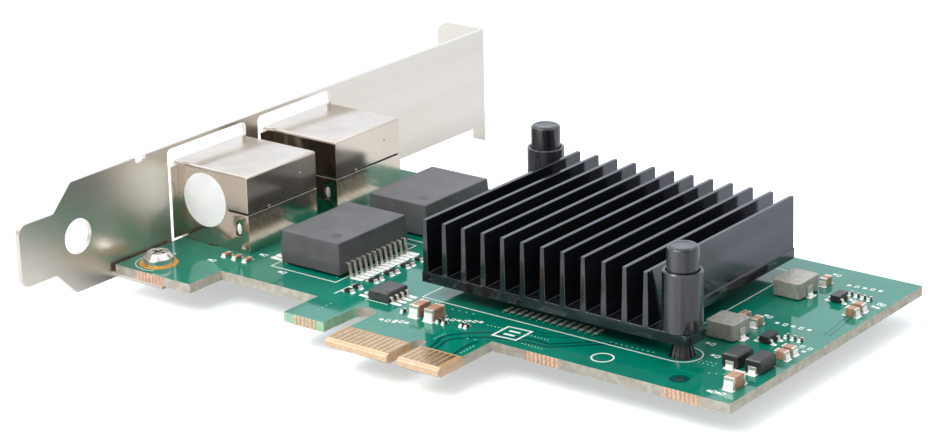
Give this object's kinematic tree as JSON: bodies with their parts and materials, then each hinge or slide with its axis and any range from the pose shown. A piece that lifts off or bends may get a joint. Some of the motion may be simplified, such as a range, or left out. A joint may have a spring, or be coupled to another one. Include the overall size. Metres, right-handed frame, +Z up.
{
  "type": "network interface card",
  "caption": "Dual-port network adapter board with gold finger edge, two shielded jacks, finned black heat sink and full-height bracket.",
  "frame": {"origin": "centre of the key notch on the nose of the finger edge, half way through the board's thickness", "axes": "+X along the board away from the bracket, +Y from the gold fingers towards the opposite edge, +Z up from the component side; the fingers plug in towards -Y"},
  "size_m": [0.1221, 0.12, 0.0227],
  "materials": {
    "board": "solder mask over glass-fibre laminate, glossy",
    "gold": "gold-plated contact",
    "copper": "bare copper ring",
    "tin": "tinned metal",
    "nickel": "nickel-plated sheet steel, satin",
    "label": "plain round label",
    "anodised": "black anodised aluminium",
    "thermal": "soft thermal sheet",
    "chip": "moulded chip package",
    "jack_plastic": "black jack insulator",
    "light": "clear indicator bar, unlit",
    "moulding": "black moulded package",
    "pin_plastic": "black nylon, glossy",
    "inductor": "grey moulded ferrite",
    "ceramic": "brown ceramic",
    "resistor": "dark resistor glaze"
  },
  "bodies": {
    "root": {"bracket_screws": "nickel", "bulk_capacitor_bodies": "ceramic", "bulk_capacitor_ends": "tin", "bypass_capacitor_bodies": "ceramic", "bypass_capacitor_ends": "tin", "circuit_board": "board", "controller_chip": "chip", "diode_1_body": "moulding", "diode_1_straps": "tin", "diode_2_body": "moulding", "diode_2_straps": "tin", "edge_contacts": "gold", "heat_sink": "anodised", "inductor_1_core": "inductor", "inductor_1_terminals": "tin", "inductor_2_core": "inductor", "inductor_2_terminals": "tin", "jack_1_contacts": "gold", "jack_1_housing": "jack_plastic", "jack_1_lights": "light", "jack_1_shield": "nickel", "jack_1_tails": "tin", "jack_2_contacts": "gold", "jack_2_housing": "jack_plastic", "jack_2_lights": "light", "jack_2_shield": "nickel", "jack_2_tails": "tin", "jack_label": "label", "land_row": "tin", "magnetics_1_body": "moulding", "magnetics_1_leads": "tin", "magnetics_2_body": "moulding", "magnetics_2_leads": "tin", "memory_body": "chip", "memory_leads": "tin", "mini_chip_bodies": "resistor", "mini_chip_ends": "tin", "mounting_bracket": "nickel", "push_pin_1": "pin_plastic", "push_pin_2": "pin_plastic", "push_pin_sleeve_1": "pin_plastic", "push_pin_sleeve_2": "pin_plastic", "regulator_1_body": "moulding", "regulator_1_leads": "tin", "regulator_2_body": "moulding", "regulator_2_leads": "tin", "resistor_bodies": "resistor", "resistor_ends": "tin", "screw_lands": "copper", "thermal_pad": "thermal"}
  },
  "joints": []
}
